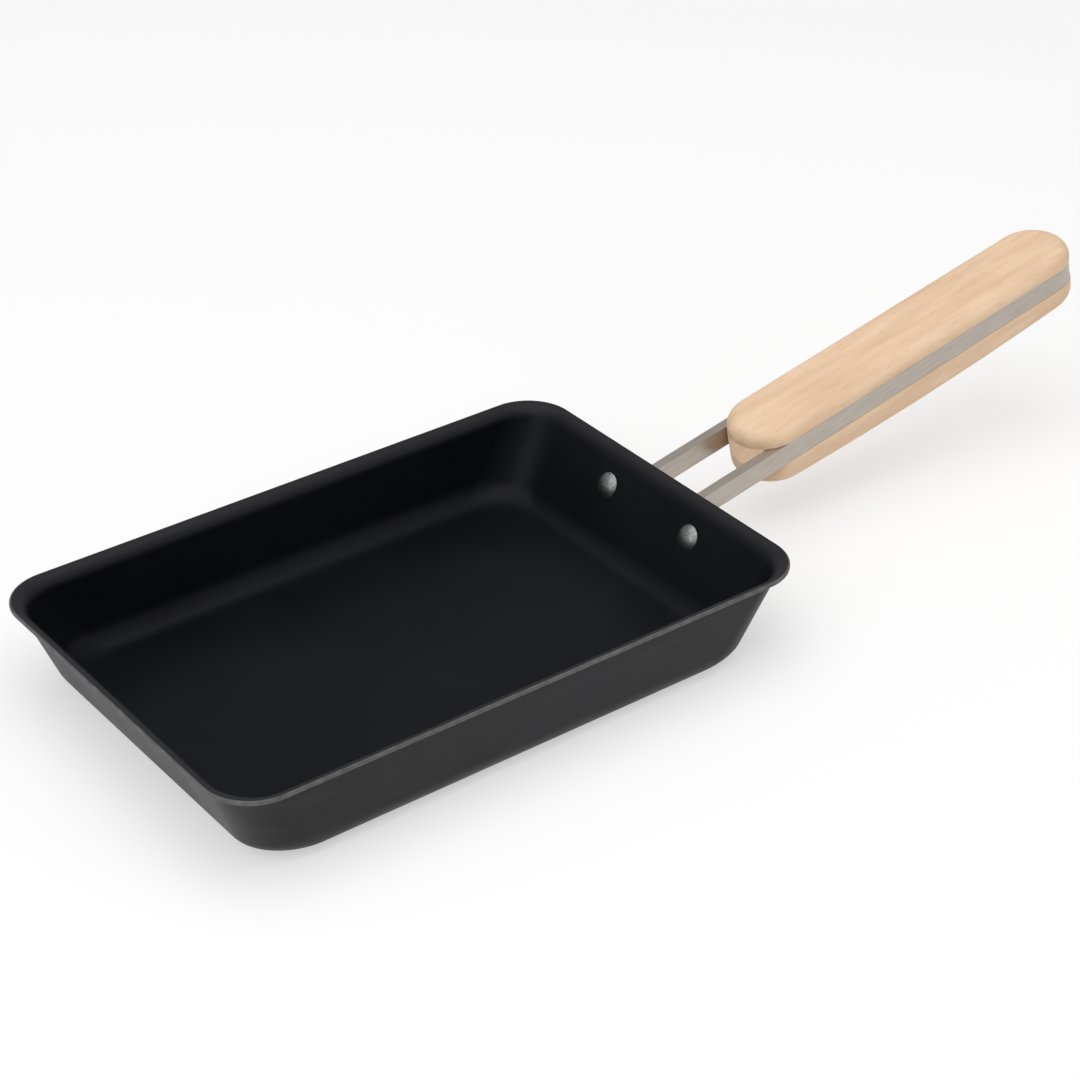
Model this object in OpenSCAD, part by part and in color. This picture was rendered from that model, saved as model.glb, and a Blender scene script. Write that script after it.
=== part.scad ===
// Rectangular rolled-omelette pan: one pressed iron shell, a folded steel strap and a wooden grip.
// The origin is the centre of the flat bottom, +X points to the handle and +Z points up.

/* [Pan] */
// Length over the rim, along X
pan_len = 215.7; // [180:0.1:260]
// Width over the rim, along Y
pan_w = 145; // [115:1:190]
// Height from the flat bottom to the top of the rim
pan_h = 31.7; // [26:0.1:45]
// Thickness of the pressed sheet
sheet_t = 1.6; // [1.2:0.1:2.4]
// Slope of the free end wall, from vertical
free_slope = 21.1; // [5:0.1:30]
// Slope of the handle end wall, from vertical
handle_slope = 27.4; // [15:0.1:32]
// Slope of the two long walls, from vertical
side_slope = 3.6; // [0:0.1:20]
// Radius of the out-turned rim, under the sheet
lip_r = 3.1; // [2:0.1:5]
// Radius of the bend between walls and bottom, outside
floor_r = 10; // [6:0.1:14]
// Plan radius of the corners at the rim
rim_corner_r = 16.6; // [12:0.1:24]
// Plan radius of the corners at the bottom
base_corner_r = 18.5; // [14:0.1:26]

/* [Handle line] */
// Rise of the handle above horizontal
rise = 11.8; // [5:0.1:18]
// Height of the strap's middle where it passes over the rim's end
strap_z = 22.4; // [19:0.1:25]

/* [Strap] */
// Width over the two legs
strap_w = 27.6; // [24:0.1:34]
// Thickness of the flat bar
strap_t = 3.6; // [2.5:0.1:4.5]
// Height of the flat bar, standing on edge
strap_h = 7.5; // [7:0.1:10]
// Distance between the two rivets
rivet_span = 42.8; // [38:0.1:60]
// Height of the rivets on the outside of the wall
rivet_z = 19.6; // [17:0.1:22]
// Radius of the rounded pad round each rivet
pad_r = 6.5; // [5.5:0.1:7.5]
// Inner radius of the fold between leg and pad
fold_r = 1.5; // [0.8:0.1:2.5]
// How far the fold's full height runs on along the leg
fold_lap = 1; // [0.6:0.1:2]
// How much the bar is thickened on each face at the fold
swell = 0.05; // [0.03:0.01:0.15]

/* [Grip] */
// Distance from the rim's end to the front of the grip
grip_gap = 32; // [24:0.5:60]
// Length of the grip
grip_len = 155; // [110:0.5:190]
// Width of the grip
grip_w = 28.2; // [25:0.1:36]
// Wood above the strap's middle
grip_up = 9.4; // [7.5:0.1:14]
// Wood below the strap's middle, at mid length
grip_down = 16.4; // [12:0.1:20]
// How far the underside curves up towards the ends
grip_bow = 3; // [1:0.1:5]
// Rounding of the upper edge
top_r = 4.6; // [2:0.1:5]
// Rounding of the lower edge
under_r = 8; // [3:0.1:10]
// Play between the grip's groove and the strap
groove_play = 0.1; // [0.05:0.05:0.4]

/* [Fasteners] */
// Radius of a rivet's shank
rivet_r = 2.5; // [2:0.1:3]
// Radius of a rivet's domed head
rivet_head_r = 4.4; // [3.8:0.1:5]
// Height of a rivet's domed head
rivet_head_h = 1.8; // [1:0.1:2.5]
// Play between a rivet and its hole
hole_play = 0.05; // [0.02:0.01:0.1]
// Play between the end screw and its hole
screw_play = 0.15; // [0.1:0.01:0.2]
// How far the end screw's head lies below the strap's outside
screw_sink = 0.6; // [0.6:0.1:1]
// Radius of the end screw's shank
screw_r = 1.8; // [1.5:0.1:2]
// Radius of the end screw's flat head
screw_head_r = 3.2; // [2.8:0.1:3.2]
// Length of the end screw
screw_len = 22; // [14:1:30]

/* [Hidden] */
$fn = 64;

CORNER_STEPS = 8;
LIP_STEPS = 6;
FLOOR_STEPS = 7;

// Where the handle end wall's outer face leaves the rim's bend
wall_x = pan_len / 2 - lip_r * cos(handle_slope);
wall_z = pan_h - sheet_t - lip_r * (1 - sin(handle_slope));
// A rivet's place on that face
rivet_x = wall_x - (wall_z - rivet_z) * tan(handle_slope);
// The line where a leg's outside meets the pad
leg_y = strap_w / 2;
bar_top = strap_h / 2;
grip_end = grip_gap + grip_len;
bend_s = grip_end - grip_w / 2;
bow_r = (pow(grip_len / 2, 2) + pow(grip_bow, 2)) / (2 * grip_bow);
mid_s = grip_gap + grip_len / 2;
screw_cone = screw_head_r - screw_r;
head_z = grip_w / 2 - leg_y + screw_sink;

// One side wall's section as [inset from the rim, height], from the bottom up the outside,
// round the rim and down the inside
function lip_c() = pan_h - sheet_t - lip_r;
function floor_inset(a) = lip_r * cos(a) + (lip_c() + lip_r * sin(a) - floor_r) * tan(a)
                          + floor_r / cos(a);
function lip_arc(a, r, up) = [for (i = [0:LIP_STEPS])
    let (k = up ? LIP_STEPS - i : i, g = (90 - a) * k / LIP_STEPS) [r * sin(g), lip_c() + r * cos(g)]];
function floor_arc(a, r, up) = [for (i = [0:FLOOR_STEPS])
    let (k = up ? i : FLOOR_STEPS - i, g = (90 - a) * k / FLOOR_STEPS)
    [floor_inset(a) - r * sin(g), floor_r - r * cos(g)]];
function section(a) = concat(floor_arc(a, floor_r, true), lip_arc(a, lip_r, true),
                             lip_arc(a, lip_r + sheet_t, false),
                             floor_arc(a, floor_r - sheet_t, false));

side = section(side_slope);
free = section(free_slope);
hand = section(handle_slope);
STATIONS = len(side);

// The corner's plan radius at a station, smaller by the sheet on the inside
function plan_r(k) = let (m = k < STATIONS / 2 ? k : STATIONS - 1 - k)
    rim_corner_r + (base_corner_r - rim_corner_r) * (1 - side[m][1] / pan_h)
    - (side[k][0] - side[m][0]);
function corner(k, sx, sy, end) = let (r = plan_r(k),
        cx = pan_len / 2 - end[k][0] - r, cy = pan_w / 2 - side[k][0] - r)
    [for (i = [0:CORNER_STEPS]) let (j = sx * sy > 0 ? i : CORNER_STEPS - i, a = 90 * j / CORNER_STEPS)
        [sx * (cx + r * cos(a)), sy * (cy + r * sin(a)),
         end[k][1] * pow(cos(a), 2) + side[k][1] * pow(sin(a), 2)]];
function ring(k) = concat(corner(k, 1, 1, hand), corner(k, -1, 1, free),
                          corner(k, -1, -1, free), corner(k, 1, -1, hand));

module shell_solid() {
    rings = [for (k = [0:STATIONS - 1]) ring(k)];
    n = len(rings[0]);
    points = [for (r = rings) for (p = r) p];
    last = (STATIONS - 1) * n;
    walls = [for (k = [0:STATIONS - 2]) for (i = [0:n - 1]) let (j = (i + 1) % n,
        a = k * n + i, b = k * n + j, c = (k + 1) * n + j, d = (k + 1) * n + i)
        each [[a, c, b], [a, d, c]]];
    bottom = [for (i = [0:n - 1]) i];
    inside = [for (i = [n - 1:-1:0]) last + i];
    polyhedron(points, concat([bottom, inside], walls), convexity = 6);
}

// Moves what is drawn on Z = 0 onto the handle end wall's outer face at a rivet, +Z outwards
module on_wall(y) {
    translate([rivet_x, y, rivet_z]) rotate([0, 90 + handle_slope, 0]) children();
}

// Moves what is drawn along X onto the handle's line
module on_handle() {
    translate([pan_len / 2, 0, strap_z]) rotate([0, -rise, 0]) children();
}

module pan_body() {
    color([0.10, 0.10, 0.11])
    difference() {
        shell_solid();
        for (s = [-1, 1]) on_wall(s * rivet_span / 2)
            translate([0, 0, -3 * sheet_t]) cylinder(h = 6 * sheet_t, r = rivet_r + hole_play);
    }
}

// The strap's path inside the grip: two legs and the bend round the far end
module strap_run(inner, outer, half_h, from_s) {
    translate([0, 0, -half_h]) linear_extrude(2 * half_h) difference() {
        round_ended(outer, from_s);
        round_ended(inner, from_s - 1);
    }
}
module round_ended(r, from_s) {
    translate([from_s, -r]) square([bend_s - from_s, 2 * r]);
    translate([bend_s, 0]) circle(r = r);
}

// The fold that turns a leg into the pad on the wall, drawn in the wall's frame for the +Y leg:
// X runs down the wall, Y along it and Z away from it
module fold_section() {
    reach = 30;
    pad_end = rivet_span / 2 - leg_y + pad_r + 1;
    rotate([0, 90, 0]) translate([0, 0, -reach]) linear_extrude(2 * reach) {
        difference() {
            union() {
                translate([-reach, -strap_t - swell]) square([reach, strap_t + 2 * swell]);
                translate([-strap_t - fold_r, -strap_t - swell])
                    square([strap_t + fold_r, strap_t + 2 * swell + fold_r]);
                translate([-strap_t, 0]) square([strap_t, pad_end]);
            }
            translate([-strap_t - fold_r, swell + fold_r]) circle(r = fold_r);
            translate([-strap_t - 3 * fold_r, swell + fold_r]) square([3 * fold_r, fold_r]);
            difference() {
                translate([-strap_t - fold_r, -strap_t - swell - 1]) square(strap_t + fold_r + 1);
                translate([-strap_t - fold_r, fold_r - swell]) circle(r = strap_t + fold_r);
                translate([-strap_t - fold_r, fold_r - swell]) square(strap_t + fold_r + 2);
            }
        }
    }
}

// The pad and its fold, as tall as the pad up to just past the fold
module strap_foot() {
    collar = strap_t + fold_r + fold_lap;
    intersection() {
        translate([rivet_x, leg_y, rivet_z]) rotate([0, 90 + handle_slope, 0]) fold_section();
        on_wall(rivet_span / 2) {
            cylinder(h = collar, r = pad_r);
            translate([-pad_r, leg_y - rivet_span / 2 - strap_t - 1, 0])
                cube([2 * pad_r, rivet_span / 2 - leg_y + strap_t + 1, collar]);
        }
    }
}

module handle_strap() {
    color([0.72, 0.69, 0.66])
    difference() {
        union() {
            difference() {
                on_handle() strap_run(leg_y - strap_t, leg_y, bar_top, -30);
                on_wall(0) translate([-60, -60, -60])
                    cube([120, 120, 60 + strap_t + fold_r + fold_lap / 2]);
            }
            strap_foot();
            mirror([0, 1, 0]) strap_foot();
        }
        for (s = [-1, 1]) on_wall(s * rivet_span / 2)
            translate([0, 0, -1]) cylinder(h = strap_t + fold_r + 2, r = rivet_r + hole_play);
        on_handle() translate([grip_end, 0, 0]) rotate([0, -90, 0]) screw_hole();
    }
}

// The half section of the grip, X out from its middle, Y up; used for the ends and the straight run
module grip_half() {
    r = grip_w / 2;
    union() {
        translate([0, -grip_down + under_r]) square([r, grip_up + grip_down - top_r - under_r]);
        translate([0, -grip_down]) square([r - under_r, under_r]);
        translate([0, grip_up - top_r]) square([r - top_r, top_r]);
        intersection() {
            translate([r - top_r, grip_up - top_r]) circle(r = top_r);
            translate([r - top_r, grip_up - top_r]) square(top_r);
        }
        intersection() {
            translate([r - under_r, -grip_down + under_r]) circle(r = under_r);
            translate([r - under_r, -grip_down]) square(under_r);
        }
    }
}

module grip() {
    front_s = grip_gap + grip_w / 2;
    color([0.87, 0.74, 0.60])
    on_handle() difference() {
        intersection() {
            union() {
                for (s = [front_s, bend_s]) translate([s, 0, 0]) rotate_extrude() grip_half();
                translate([front_s, 0, 0]) rotate([90, 0, 90]) linear_extrude(bend_s - front_s) {
                    grip_half();
                    mirror([1, 0]) grip_half();
                }
            }
            translate([mid_s, grip_w, bow_r - grip_down]) rotate([90, 0, 0])
                cylinder(h = 2 * grip_w, r = bow_r, $fn = 360);
        }
        strap_run(leg_y - strap_t - groove_play, grip_w, bar_top + groove_play, grip_gap - 1);
        translate([grip_end, 0, 0]) rotate([0, -90, 0]) screw_hole();
    }
}

// The hole for the end screw: a countersink and a shank hole, into +Z from the strap's outside
module screw_hole() {
    r = screw_r + screw_play;
    translate([0, 0, -1]) cylinder(h = screw_len + head_z + 1.4, r = r);
    translate([0, 0, head_z]) cylinder(h = screw_cone, r1 = screw_head_r + screw_play, r2 = r);
    translate([0, 0, head_z - 4]) cylinder(h = 4.001, r = screw_head_r + screw_play);
}

module grip_screw() {
    color([0.70, 0.70, 0.70])
    on_handle() translate([grip_end, 0, 0]) rotate([0, -90, 0]) {
        translate([0, 0, head_z]) cylinder(h = screw_cone, r1 = screw_head_r, r2 = screw_r);
        translate([0, 0, head_z]) cylinder(h = screw_len, r = screw_r);
    }
}

// A dome whose rim has the head's radius and whose crown has the head's height, on Z = 0
module dome(r, h) {
    ball = (r * r + h * h) / (2 * h);
    intersection() {
        translate([0, 0, h - ball]) sphere(r = ball);
        cylinder(h = h + 1, r = r);
    }
}

module rivet(y) {
    color([0.55, 0.56, 0.56])
    on_wall(y) {
        translate([0, 0, -sheet_t]) cylinder(h = sheet_t + strap_t, r = rivet_r);
        translate([0, 0, strap_t]) dome(rivet_head_r, rivet_head_h);
        translate([0, 0, -sheet_t]) mirror([0, 0, 1]) dome(rivet_head_r, rivet_head_h);
    }
}
module rivet_left() { rivet(rivet_span / 2); }
module rivet_right() { rivet(-rivet_span / 2); }

pan_body();
handle_strap();
grip();
rivet_left();
rivet_right();
grip_screw();
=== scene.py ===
"""Looks of the rectangular omelette pan: blackened iron shell, satin steel strap, wooden grip."""

import bpy
import numpy as np
from mathutils import Matrix, Vector


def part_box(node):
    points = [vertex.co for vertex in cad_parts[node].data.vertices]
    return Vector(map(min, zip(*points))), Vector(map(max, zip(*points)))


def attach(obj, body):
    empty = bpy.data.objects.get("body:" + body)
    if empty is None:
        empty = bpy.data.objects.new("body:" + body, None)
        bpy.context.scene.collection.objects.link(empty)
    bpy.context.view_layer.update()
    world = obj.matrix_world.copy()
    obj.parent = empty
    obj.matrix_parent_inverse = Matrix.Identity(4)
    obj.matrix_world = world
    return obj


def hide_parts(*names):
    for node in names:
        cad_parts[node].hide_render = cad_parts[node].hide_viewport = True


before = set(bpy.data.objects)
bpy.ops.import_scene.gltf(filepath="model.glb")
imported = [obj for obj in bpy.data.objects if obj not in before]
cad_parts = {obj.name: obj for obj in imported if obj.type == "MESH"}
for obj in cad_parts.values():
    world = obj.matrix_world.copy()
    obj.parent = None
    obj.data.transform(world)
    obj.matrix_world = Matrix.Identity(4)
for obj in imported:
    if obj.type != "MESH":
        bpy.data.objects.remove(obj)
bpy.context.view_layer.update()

MM = 0.001

# ---- camera, from the photograph's own perspective --------------------------------------------
FRAME_PX = 1080
FOCAL_PX = 2779.5
ORIGIN_PX = (406.3, 661.2)
CAMERA_PITCH = np.radians(31.975)
CAMERA_YAW = np.radians(52.87)
CAMERA_DEPTH = 0.8964
SENSOR = 36.0

# ---- the pan, in millimetres -------------------------------------------------------------------
PAN_LOW, PAN_HIGH = (np.array(c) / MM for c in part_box("pan_body"))
PAN_LEN, PAN_W, PAN_H = PAN_HIGH - PAN_LOW
SHEET = 1.6
FREE_SLOPE, HANDLE_SLOPE, SIDE_SLOPE = (np.radians(a) for a in (21.1, 27.4, 3.6))
LIP_R = 3.1
FLOOR_R = 10.0
RIM_CORNER_R = 16.6
BASE_CORNER_R = 18.5
EDGE_R = 0.45
CORNER_STEPS = 28
BEND_STEPS = 12
EDGE_STEPS = 5
FLOOR_RINGS = 14
FLOOR_START = 0.04
# Depths below the rim between which the inside is painted lighter grey, as a highlight on the rim's
# rounded bend.
RIM_HIGHLIGHT_LOW, RIM_HIGHLIGHT_HIGH = 4.5, 0.6
# Material zones of the shell: the inside is painted darker than the outside as shade, and the cut
# edge is painted lighter grey as a highlight.
OUTSIDE, CUT_EDGE, SHADED_INSIDE = range(3)

# ---- the handle, in millimetres ----------------------------------------------------------------
RISE = np.radians(11.8)
STRAP_Z = 22.4
STRAP_W, STRAP_T, STRAP_H = 27.6, 3.6, 7.5
GRIP_GAP, GRIP_LEN, GRIP_W = 32.0, 155.0, 28.2
GRIP_UP, GRIP_DOWN, GRIP_BOW = 9.4, 16.4, 3.0
TOP_R, UNDER_R = 4.6, 8.0
GROOVE_PLAY = 0.1
GROOVE_EDGE_R = 0.35
INSIDE = 0.02
POLE_R = 0.3
FLAT_RINGS, LOW_RINGS, HIGH_RINGS = 13, 3, 2
WOOD_BEND_STEPS, GROOVE_EDGE_STEPS = 12, 4
END_POINTS, RUN_POINTS = 49, 39

# ---- the studio, in metres, each lamp as (name, place, watts, size) ----------------------------
LAMPS = (("top", (-0.2, -0.1, 1.6), 20.0, 2.0), ("key", (-1.3, -0.4, 0.8), 5.0, 1.0),
         ("fill", (0.9, -1.1, 0.9), 2.5, 1.2))
SURROUND_LEVEL = 0.45
FLOOR_REACH = 6.0
WHITE_SHARE = 0.5


def grid_mesh(name, rings, zones=None):
    """A closed skin from rings of points, shaped (ring, point, 3), whose first and last ring are
    each drawn together to their middle point. Rings run so that the faces point outwards. zones
    gives the band between each two rings its material's index."""
    count, around, _ = rings.shape
    first, last = rings[0].mean(axis=0), rings[-1].mean(axis=0)
    points = np.vstack([rings.reshape(-1, 3), first, last]) * MM
    k, i = np.meshgrid(np.arange(count - 1), np.arange(around), indexing="ij")
    j = (i + 1) % around
    here, there = k * around, (k + 1) * around
    quads = np.stack([here + i, here + j, there + j, there + i], -1)
    edge = np.arange(around)
    turn = (edge + 1) % around
    pole = count * around
    top = (count - 1) * around
    caps = np.vstack([np.stack([turn, edge, np.full(around, pole)], -1),
                      np.stack([top + edge, top + turn, np.full(around, pole + 1)], -1)])
    mesh = bpy.data.meshes.new(name)
    mesh.from_pydata(points.tolist(), [], quads.reshape(-1, 4).tolist() + caps.tolist())
    if zones is not None:
        index = np.concatenate([np.repeat(zones, around), np.full(around, zones[0]),
                                np.full(around, zones[-1])])
        mesh.polygons.foreach_set("material_index", index.astype(np.int32))
    mesh.shade_smooth()
    mesh.validate()
    piece = bpy.data.objects.new(name, mesh)
    bpy.context.scene.collection.objects.link(piece)
    return piece


def wall_section(slope):
    """One side's section as (inset from the rim, height): up the outside round the floor bend and
    the rim's bend, over the rounded cut edge, and down the inside by the same arcs."""
    centre_z = PAN_H - SHEET - LIP_R
    floor_in = (LIP_R * np.cos(slope) + (centre_z + LIP_R * np.sin(slope) - FLOOR_R) * np.tan(slope)
                + FLOOR_R / np.cos(slope))
    g = (np.pi / 2 - slope) * np.linspace(0, 1, BEND_STEPS + 1)
    floor_out = np.stack([floor_in - FLOOR_R * np.sin(g), FLOOR_R - FLOOR_R * np.cos(g)], -1)
    inner_r = FLOOR_R - SHEET
    floor_inner = np.stack([floor_in - inner_r * np.sin(g), FLOOR_R - inner_r * np.cos(g)], -1)
    lip_out = np.stack([LIP_R * np.sin(g), centre_z + LIP_R * np.cos(g)], -1)[::-1]
    lip_in = np.stack([(LIP_R + SHEET) * np.sin(g), centre_z + (LIP_R + SHEET) * np.cos(g)], -1)
    a = np.linspace(0, np.pi / 2, EDGE_STEPS)
    under = np.stack([EDGE_R * (1 - np.sin(a)), PAN_H - SHEET + EDGE_R * (1 - np.cos(a))], -1)
    over = np.stack([EDGE_R * (1 - np.cos(a)), PAN_H - EDGE_R * (1 - np.sin(a))], -1)
    return np.vstack([floor_out, lip_out[:-1], under, over, lip_in[1:], floor_inner[::-1]])


def pan_skin():
    """The pressed shell: at each station of the section, a rounded rectangle whose corner radius
    eases from rim to base, and whose height eases from the end wall's to the long wall's by the
    cosine squared of the turn. Both floors are filled with shrinking copies of the last ring."""
    side, free, hand = (wall_section(s) for s in (SIDE_SLOPE, FREE_SLOPE, HANDLE_SLOPE))
    n = len(side)
    mate = np.where(np.arange(n) < n / 2, np.arange(n), n - 1 - np.arange(n))
    radius = (RIM_CORNER_R + (BASE_CORNER_R - RIM_CORNER_R) * (1 - side[mate, 1] / PAN_H)
              - (side[:, 0] - side[mate, 0]))
    t = np.linspace(0, np.pi / 2, CORNER_STEPS + 1)
    parts = []
    for sx, sy, end in ((1, 1, hand), (-1, 1, free), (-1, -1, free), (1, -1, hand)):
        a = t if sx * sy > 0 else t[::-1]
        cx = (PAN_LEN / 2 - end[:, 0] - radius)[:, None]
        cy = (PAN_W / 2 - side[:, 0] - radius)[:, None]
        x = sx * (cx + radius[:, None] * np.cos(a))
        y = sy * (cy + radius[:, None] * np.sin(a))
        z = end[:, 1, None] * np.cos(a) ** 2 + side[:, 1, None] * np.sin(a) ** 2
        parts.append(np.stack([x, y, z], -1))
    rings = np.concatenate(parts, axis=1)
    shrink = np.linspace(FLOOR_START, 1, FLOOR_RINGS)[:-1, None, None]
    keep = np.array([1.0, 1.0, 0.0])
    base = rings[0][None] * (shrink * keep + (1 - keep))
    floor = rings[-1][None] * (shrink[::-1] * keep + (1 - keep))
    rings = np.concatenate([base, rings, floor])
    edge = FLOOR_RINGS + 2 * BEND_STEPS
    zones = np.full(len(rings) - 1, OUTSIDE)
    zones[edge:] = SHADED_INSIDE
    zones[edge:edge + 2 * EDGE_STEPS - 1] = CUT_EDGE
    return grid_mesh("iron_shell", rings, zones)


def on_handle(points):
    """Points drawn along X, taken onto the rising line of the handle."""
    c, s = np.cos(RISE), np.sin(RISE)
    x, y, z = points[..., 0], points[..., 1], points[..., 2]
    return np.stack([PAN_LEN / 2 + x * c - z * s, y, STRAP_Z + x * s + z * c], -1)


def grip_skin():
    """The wooden grip: a stadium outline carried up a section that rounds in at both edges. Inside
    the groove's height the outline is held in to the strap's inner face, along both sides and
    round the far bend, and the front end runs through unbroken between the legs. The underside
    rises to the ends by the square of the distance from the middle, fading out to the groove."""
    r = GRIP_W / 2 - INSIDE
    up, down = GRIP_UP - INSIDE, GRIP_DOWN - INSIDE
    half = STRAP_H / 2 + GROOVE_PLAY
    hold = STRAP_W / 2 - STRAP_T - GROOVE_PLAY
    lip = GROOVE_EDGE_R
    q = np.linspace(0, np.pi / 2, WOOD_BEND_STEPS)
    f = np.linspace(0, np.pi / 2, GROOVE_EDGE_STEPS)
    inset = np.concatenate([
        np.linspace(r - POLE_R, UNDER_R, FLAT_RINGS + 1)[:-1], UNDER_R * (1 - np.sin(q)),
        np.zeros(LOW_RINGS), lip * (1 - np.cos(f)), [lip, lip], lip * (1 - np.sin(f)),
        np.zeros(HIGH_RINGS), TOP_R * (1 - np.cos(q)),
        np.linspace(TOP_R, r - POLE_R, FLAT_RINGS + 1)[1:]])
    height = np.concatenate([
        np.full(FLAT_RINGS, -down), -down + UNDER_R * (1 - np.cos(q)),
        np.linspace(-down + UNDER_R, -half - lip, LOW_RINGS + 2)[1:-1],
        -half - lip * (1 - np.sin(f)), [-half, half], half + lip * (1 - np.cos(f)),
        np.linspace(half + lip, up - TOP_R, HIGH_RINGS + 2)[1:-1],
        up - TOP_R * (1 - np.sin(q)), np.full(FLAT_RINGS, up)])
    groove = FLAT_RINGS + len(q) + LOW_RINGS + len(f)
    held = np.zeros((len(inset), 1), bool)
    held[groove:groove + 2] = True
    beside = np.zeros((len(inset), 1), bool)
    beside[groove - len(f):groove + 2 + len(f)] = True

    front, back = GRIP_GAP + GRIP_W / 2, GRIP_GAP + GRIP_LEN - GRIP_W / 2
    turn = np.linspace(-np.pi / 2, np.pi / 2, END_POINTS)
    run = np.linspace(0, 1, RUN_POINTS + 2)[1:-1]
    still, ones = np.zeros(RUN_POINTS), np.ones(RUN_POINTS)
    dx = np.concatenate([np.cos(turn), still, -np.cos(turn), still])
    dy = np.concatenate([np.sin(turn), ones, -np.sin(turn), -ones])
    cx = np.concatenate([np.full(END_POINTS, back), back + (front - back) * run,
                         np.full(END_POINTS, front), front + (back - front) * run])
    at_back, at_front = (cx == back) & (dx > 0), (cx == front) & (dx < 0)
    rad = r - inset[:, None] * ~(beside & at_front)
    x, y = cx + rad * dx, rad * dy
    x = np.where(held & at_back, cx + hold * dx, x)
    y = np.where(held & at_back, hold * dy, np.where(held, np.clip(y, -hold, hold), y))
    z = np.repeat(height[:, None], len(cx), axis=1)
    middle, reach = (front + back) / 2, GRIP_LEN / 2
    low = np.clip((-half - lip - z) / (down - half - lip), 0, 1)
    z = z + GRIP_BOW * low * ((x - middle) / reach) ** 2
    return grid_mesh("wood_grip", on_handle(np.stack([x, y, z], -1)))


def material(name):
    """A new node material, its Principled shader and a helper that adds nodes."""
    mat = bpy.data.materials.new(name)
    mat.use_nodes = True
    tree = mat.node_tree

    def add(kind, **values):
        node = tree.nodes.new(kind)
        for key, value in values.items():
            node.inputs[key.replace("_", " ")].default_value = value
        return node

    return mat, tree.nodes["Principled BSDF"], add, tree.links.new


def noise_at(add, link, scale, detail, stretch=(1, 1, 1), turn=0.0):
    """Noise on Object coordinates, turned about Y and then drawn out by stretch."""
    where = add("ShaderNodeTexCoord")
    place = add("ShaderNodeMapping", Rotation=(0, turn, 0), Scale=stretch)
    place.vector_type = "TEXTURE"
    noise = add("ShaderNodeTexNoise", Scale=scale, Detail=detail)
    link(where.outputs["Object"], place.inputs["Vector"])
    link(place.outputs["Vector"], noise.inputs["Vector"])
    return noise.outputs["Fac"]


def between(add, link, amount, low, high, start=0.3, end=0.7):
    """A colour that runs from low to high as the amount runs from start to end."""
    ramp = add("ShaderNodeValToRGB")
    first, last = ramp.color_ramp.elements
    first.position, last.position = start, end
    first.color, last.color = (*low, 1), (*high, 1)
    link(amount, ramp.inputs["Fac"])
    return ramp.outputs["Color"]


def relief(add, link, shader, height, distance, strength):
    """Bumps the surface by the height, which counts as the distance in metres from 0 to 1."""
    bump = add("ShaderNodeBump", Strength=strength, Distance=distance)
    link(height, bump.inputs["Height"])
    link(bump.outputs["Normal"], shader.inputs["Normal"])


def mixed(add, link, share, first, second):
    """The first colour, with the second laid over it by the share."""
    mix = add("ShaderNodeMixRGB")
    for source, end in ((share, "Fac"), (first, "Color1"), (second, "Color2")):
        if isinstance(source, tuple):
            mix.inputs[end].default_value = (*source, 1)
        else:
            link(source, mix.inputs[end])
    return mix.outputs["Color"]


def iron_outside():
    """Heat-blackened sheet as it left the press: charcoal with cloudy patches and faint rubbing."""
    mat, shader, add, link = material("iron_outside")
    cloud = noise_at(add, link, 34, 7)
    rub = noise_at(add, link, 420, 4, (9, 9, 1))
    tone = between(add, link, cloud, (0.0105, 0.0105, 0.0125), (0.0205, 0.0200, 0.0225))
    rubbed = between(add, link, rub, (0, 0, 0), (0.5, 0.5, 0.5), 0.52, 0.75)
    link(mixed(add, link, rubbed, tone, (0.030, 0.029, 0.030)), shader.inputs["Base Color"])
    link(between(add, link, cloud, (0.36, 0.36, 0.36), (0.5, 0.5, 0.5)), shader.inputs["Roughness"])
    shader.inputs["Specular IOR Level"].default_value = 0.2
    relief(add, link, shader, noise_at(add, link, 1400, 3), 0.00003, 0.35)
    return mat


def iron_inside_painted_shade():
    """The inside: deep blue-black, painted darker than the outside as shade, and painted lighter
    grey over the rim's rounded bend as a highlight.
    """
    mat, shader, add, link = material("iron_inside_painted_shade")
    cloud = noise_at(add, link, 22, 5)
    where = add("ShaderNodeTexCoord")
    height = add("ShaderNodeSeparateXYZ")
    # Painted highlight: lighter grey towards the rim, where light falls on the rounded bend.
    rim_highlight = add("ShaderNodeMapRange", From_Min=(PAN_H - RIM_HIGHLIGHT_LOW) * MM,
                   From_Max=(PAN_H - RIM_HIGHLIGHT_HIGH) * MM)
    link(where.outputs["Object"], height.inputs["Vector"])
    link(height.outputs["Z"], rim_highlight.inputs["Value"])
    # Painted shade: a base colour darker than the outside's stands in for the shade inside the pan.
    tone = between(add, link, cloud, (0.0032, 0.0035, 0.0045), (0.0060, 0.0064, 0.0080))
    link(mixed(add, link, rim_highlight.outputs["Result"], tone, (0.019, 0.019, 0.021)),
         shader.inputs["Base Color"])
    shader.inputs["Roughness"].default_value = 0.40
    shader.inputs["Specular IOR Level"].default_value = 0.10
    relief(add, link, shader, noise_at(add, link, 1400, 3), 0.00002, 0.3)
    return mat


def painted_edge_highlight():
    """The rim's cut edge, painted mottled grey as a highlight along the rim."""
    mat, shader, add, link = material("painted_edge_highlight")
    edge_highlight_mottle = noise_at(add, link, 260, 5)
    # Painted highlight: the edge is coloured lighter grey than the iron, standing in for the light
    # caught along the rim.
    link(between(add, link, edge_highlight_mottle, (0.062, 0.060, 0.061), (0.125, 0.120, 0.118)),
         shader.inputs["Base Color"])
    shader.inputs["Roughness"].default_value = 0.5
    shader.inputs["Specular IOR Level"].default_value = 0.3
    relief(add, link, shader, edge_highlight_mottle, 0.00003, 0.3)
    return mat


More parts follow.
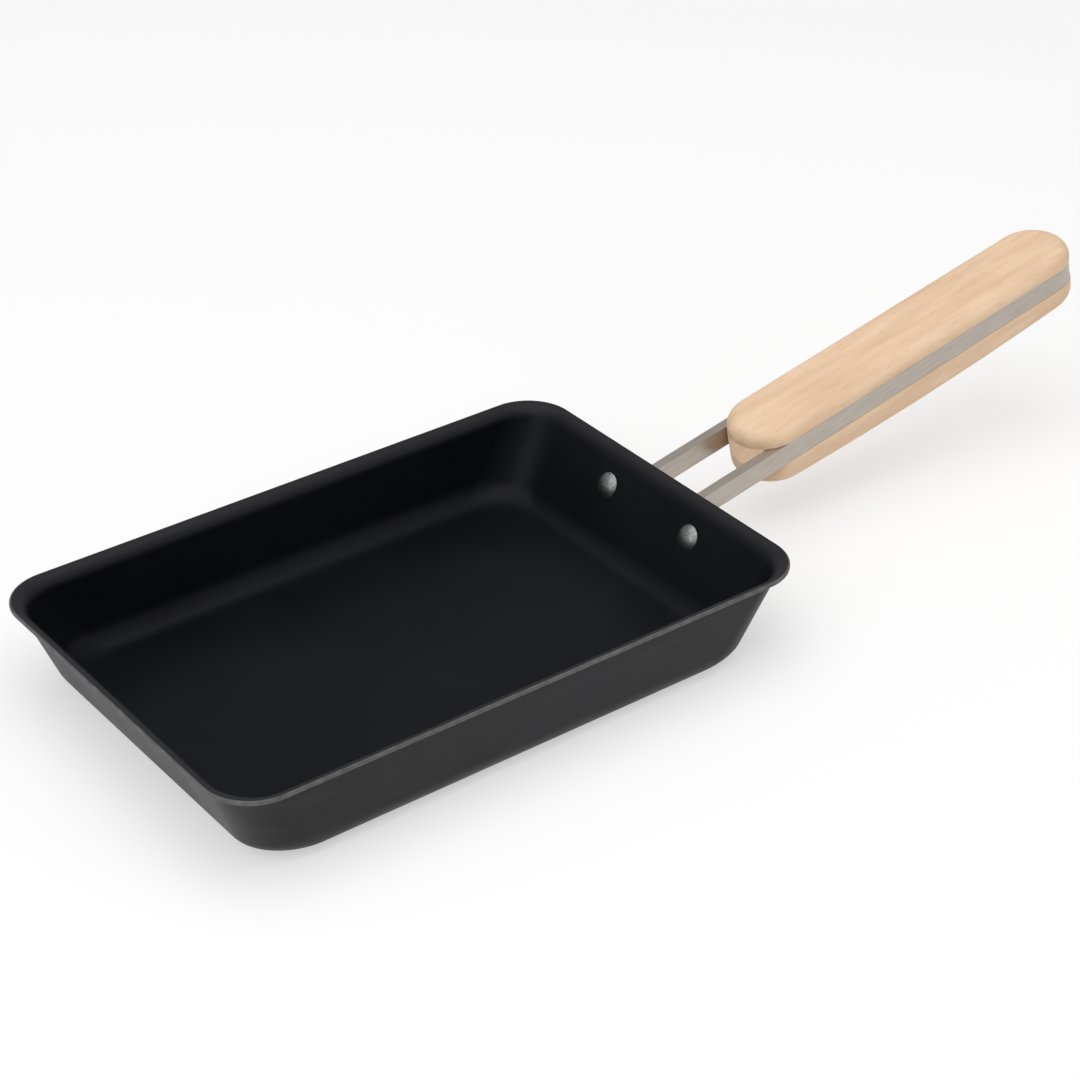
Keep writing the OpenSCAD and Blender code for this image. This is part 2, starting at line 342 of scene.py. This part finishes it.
def pale_wood():
    """Pale close-grained wood: long soft streaks, short dark flecks and fine fibres, all along
    the handle."""
    mat, shader, add, link = material("pale_wood")
    streak = noise_at(add, link, 230, 5, (7.5, 1, 1), -RISE)
    fleck = noise_at(add, link, 1000, 2, (6, 1, 1), -RISE)
    tone = between(add, link, streak, (0.69, 0.470, 0.300), (0.80, 0.585, 0.405))
    flecked = between(add, link, fleck, (0, 0, 0), (0.28, 0.28, 0.28), 0.6, 0.72)
    link(mixed(add, link, flecked, tone, (0.50, 0.315, 0.190)), shader.inputs["Base Color"])
    shader.inputs["Roughness"].default_value = 0.55
    shader.inputs["Specular IOR Level"].default_value = 0.3
    relief(add, link, shader, noise_at(add, link, 1500, 3, (14, 1, 1), -RISE), 0.00006, 0.3)
    return mat


def satin_steel(name, low, high, roughness, stretch):
    """Satin steel with fine drawn lines."""
    mat, shader, add, link = material(name)
    line = noise_at(add, link, 1300, 4, stretch, -RISE)
    link(between(add, link, line, low, high), shader.inputs["Base Color"])
    shader.inputs["Metallic"].default_value = 1.0
    shader.inputs["Roughness"].default_value = roughness
    relief(add, link, shader, line, 0.00002, 0.2)
    return mat


def pale_floor():
    """A pale matt floor, which the camera and reflections see drawn halfway to white."""
    mat, shader, add, link = material("pale_floor")
    shader.inputs["Base Color"].default_value = (0.93, 0.93, 0.93, 1)
    shader.inputs["Roughness"].default_value = 0.9
    path = add("ShaderNodeLightPath")
    seen = path.outputs["Is Camera Ray"]
    for ray in ("Is Glossy Ray", "Is Transmission Ray"):
        either = add("ShaderNodeMath")
        either.operation = "MAXIMUM"
        link(seen, either.inputs[0])
        link(path.outputs[ray], either.inputs[1])
        seen = either.outputs[0]
    share = add("ShaderNodeMath")
    share.operation = "MULTIPLY"
    share.inputs[1].default_value = WHITE_SHARE
    white = add("ShaderNodeEmission", Strength=1.0)
    mix = add("ShaderNodeMixShader")
    link(seen, share.inputs[0])
    link(share.outputs[0], mix.inputs[0])
    link(shader.outputs["BSDF"], mix.inputs[1])
    link(white.outputs["Emission"], mix.inputs[2])
    link(mix.outputs["Shader"], mat.node_tree.nodes["Material Output"].inputs["Surface"])
    return mat


def studio():
    """A pale floor, an even grey-white surround and three soft lamps, the key by the free end."""
    world = bpy.data.worlds.new("surround")
    bpy.context.scene.world = world
    world.use_nodes = True
    soft = world.node_tree.nodes["Background"]
    soft.inputs["Color"].default_value = (1, 1, 1, 1)
    soft.inputs["Strength"].default_value = SURROUND_LEVEL

    mesh = bpy.data.meshes.new("floor")
    corners = ((-1, -1), (1, -1), (1, 1), (-1, 1))
    mesh.from_pydata([(x * FLOOR_REACH, y * FLOOR_REACH, 0) for x, y in corners], [], [(0, 1, 2, 3)])
    floor = bpy.data.objects.new("floor", mesh)
    bpy.context.scene.collection.objects.link(floor)
    mesh.materials.append(pale_floor())

    for name, place, power, size in LAMPS:
        lamp = bpy.data.lights.new(name, "AREA")
        lamp.energy, lamp.size = power, size
        holder = bpy.data.objects.new(name, lamp)
        holder.location = place
        holder.rotation_euler = (-Vector(place)).to_track_quat("-Z", "Y").to_euler()
        bpy.context.scene.collection.objects.link(holder)


def photograph_camera():
    """The photograph's camera: level, above the near corner, the origin at its own pixel."""
    ahead = Vector((np.cos(CAMERA_PITCH) * np.cos(CAMERA_YAW),
                    np.cos(CAMERA_PITCH) * np.sin(CAMERA_YAW), -np.sin(CAMERA_PITCH)))
    right = Vector((np.sin(CAMERA_YAW), -np.cos(CAMERA_YAW), 0))
    up = right.cross(ahead)
    across = (ORIGIN_PX[0] - FRAME_PX / 2) * CAMERA_DEPTH / FOCAL_PX
    above = (FRAME_PX / 2 - ORIGIN_PX[1]) * CAMERA_DEPTH / FOCAL_PX
    lens = bpy.data.cameras.new("camera")
    lens.sensor_fit = "HORIZONTAL"
    lens.sensor_width = SENSOR
    lens.lens = SENSOR * FOCAL_PX / FRAME_PX
    holder = bpy.data.objects.new("camera", lens)
    place = -(ahead * CAMERA_DEPTH + right * across + up * above)
    facing = Matrix((right, up, -ahead)).transposed().to_4x4()
    holder.matrix_world = Matrix.Translation(place) @ facing
    bpy.context.scene.collection.objects.link(holder)
    bpy.context.scene.camera = holder


def dress(piece, *finishes):
    """Gives a new piece its materials, in the order of its zones."""
    for finish in finishes:
        piece.data.materials.append(finish)


photograph_camera()
studio()
bpy.context.scene.view_settings.view_transform = "Standard"

shell = pan_skin()
dress(shell, iron_outside(), painted_edge_highlight(), iron_inside_painted_shade())
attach(shell, "root")
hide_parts("pan_body")

wood = grip_skin()
dress(wood, pale_wood())
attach(wood, "root")
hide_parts("grip")

STRAP = satin_steel("strap_steel", (0.42, 0.375, 0.325), (0.51, 0.460, 0.410), 0.38, (14, 1, 1))
RIVET = satin_steel("rivet_steel", (0.16, 0.165, 0.165), (0.30, 0.305, 0.305), 0.42, (1, 1, 1))
SCREW = satin_steel("screw_steel", (0.5, 0.5, 0.5), (0.6, 0.6, 0.6), 0.35, (1, 1, 1))
for node, finish in (("handle_strap", STRAP), ("rivet_left", RIVET), ("rivet_right", RIVET),
                     ("grip_screw", SCREW)):
    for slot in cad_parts[node].material_slots:
        slot.material = finish
